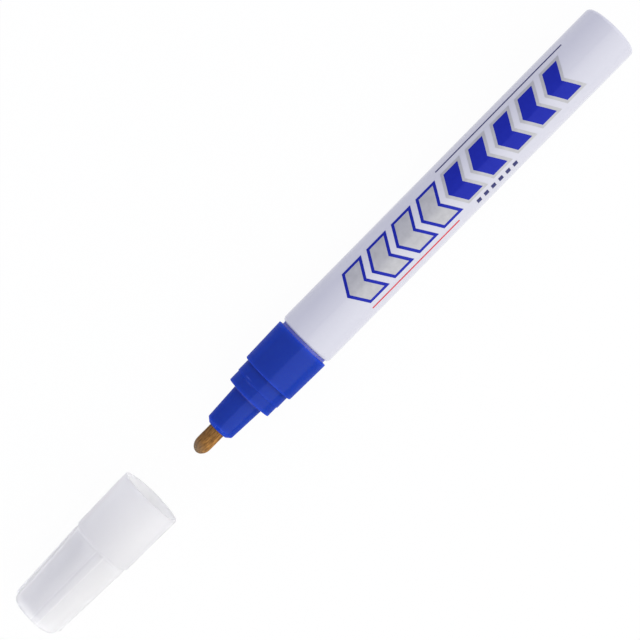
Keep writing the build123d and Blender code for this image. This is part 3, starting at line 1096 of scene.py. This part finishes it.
# Floor, light and camera
def lay_floor():
    """A large pale floor that shows white and keeps the object's shadow."""
    deselect()
    bpy.ops.mesh.primitive_plane_add(size=FLOOR_SIZE, location=(0, 0, 0))
    floor = bpy.context.active_object
    floor.name = "floor"
    material = bpy.data.materials.new("pale_floor")
    material.use_nodes = True
    tree = material.node_tree
    tree.nodes.clear()
    out = tree.nodes.new("ShaderNodeOutputMaterial")
    matte = tree.nodes.new("ShaderNodeBsdfDiffuse")
    matte.inputs["Color"].default_value = FLOOR_COLOUR
    white = tree.nodes.new("ShaderNodeEmission")
    white.inputs["Strength"].default_value = 1
    path = tree.nodes.new("ShaderNodeLightPath")
    seen = math_node(tree, "MAXIMUM", path.outputs["Is Camera Ray"], path.outputs["Is Glossy Ray"])
    seen = math_node(tree, "MAXIMUM", seen, path.outputs["Is Transmission Ray"])
    share = math_node(tree, "MULTIPLY", seen, FLOOR_WHITE_SHARE)
    blend = tree.nodes.new("ShaderNodeMixShader")
    tree.links.new(share, blend.inputs[0])
    tree.links.new(matte.outputs[0], blend.inputs[1])
    tree.links.new(white.outputs[0], blend.inputs[2])
    tree.links.new(blend.outputs[0], out.inputs["Surface"])
    floor.data.materials.append(material)


def hang_panel(name, top, foot, length, radiance, colour):
    """A soft panel lamp between an upper and a lower edge, given by their middles, turned to the marker."""
    deselect()
    middle = (top + foot) / 2
    rise = (top - foot).normalized()
    away = middle - Vector(AXIS_POINT)
    away = (away - away.dot(rise) * rise).normalized()
    bpy.ops.object.light_add(type="AREA", location=middle)
    lamp = bpy.context.active_object
    lamp.name = name
    facing = Matrix((rise.cross(away), rise, away)).transposed()
    lamp.matrix_world = Matrix.Translation(middle) @ facing.to_4x4()
    lamp.data.shape = "RECTANGLE"
    lamp.data.size = length
    lamp.data.size_y = (top - foot).length
    lamp.data.color = colour
    # A panel's energy is its radiance times pi times its area
    lamp.data.energy = radiance * pi * length * lamp.data.size_y
    lamp.visible_camera = False


def hang_lamps():
    """A wide softbox from overhead down the near side, and a smaller lamp beyond each end of the marker."""
    hang_panel("softbox", SOFTBOX_TOP, SOFTBOX_FOOT, SOFTBOX_LENGTH, SOFTBOX_RADIANCE, SOFTBOX_COLOUR)
    for name, side in (("nib_lamp", -1), ("tail_lamp", 1)):
        flip = Vector((side, 1, 1))
        top = END_LAMP_TOP * flip
        foot = END_LAMP_FOOT * flip
        hang_panel(name, top, foot, END_LAMP_LENGTH, END_LAMP_RADIANCE, END_LAMP_COLOUR)


def light_room():
    """A slightly cool room light, brighter on the near side."""
    world = bpy.data.worlds.new("room")
    world.use_nodes = True
    tree = world.node_tree
    place = tree.nodes.new("ShaderNodeTexCoord")
    apart = tree.nodes.new("ShaderNodeSeparateXYZ")
    tree.links.new(place.outputs["Generated"], apart.inputs[0])
    side = map_range(tree, apart.outputs["Y"], -1, 1)
    colour = mix_colours(tree, side, NEAR_SKY, FAR_SKY)
    tree.links.new(colour, tree.nodes["Background"].inputs["Color"])
    bpy.context.scene.world = world


def set_camera():
    """The photograph's view: from above, with the marker running up to the right."""
    deselect()
    place = Vector((MOUTH_X + CAMERA_STATION, 0, AXIS_HEIGHT + CAMERA_HEIGHT))
    aim = Vector((MOUTH_X + AIM_STATION, AIM_SIDE, AXIS_HEIGHT))
    bpy.ops.object.camera_add(location=place)
    camera = bpy.context.active_object
    camera.data.lens = LENS
    forward = (aim - place).normalized()
    level = Vector((cos(CAMERA_ROLL), -sin(CAMERA_ROLL), 0))
    right = (level - level.dot(forward) * forward).normalized()
    up = right.cross(forward)
    facing = Matrix((right, up, -forward)).transposed()
    camera.matrix_world = Matrix.Translation(place) @ facing.to_4x4()
    bpy.context.scene.camera = camera


lay_floor()
hang_lamps()
light_room()
set_camera()
bpy.context.scene.view_settings.view_transform = "Standard"
deselect()
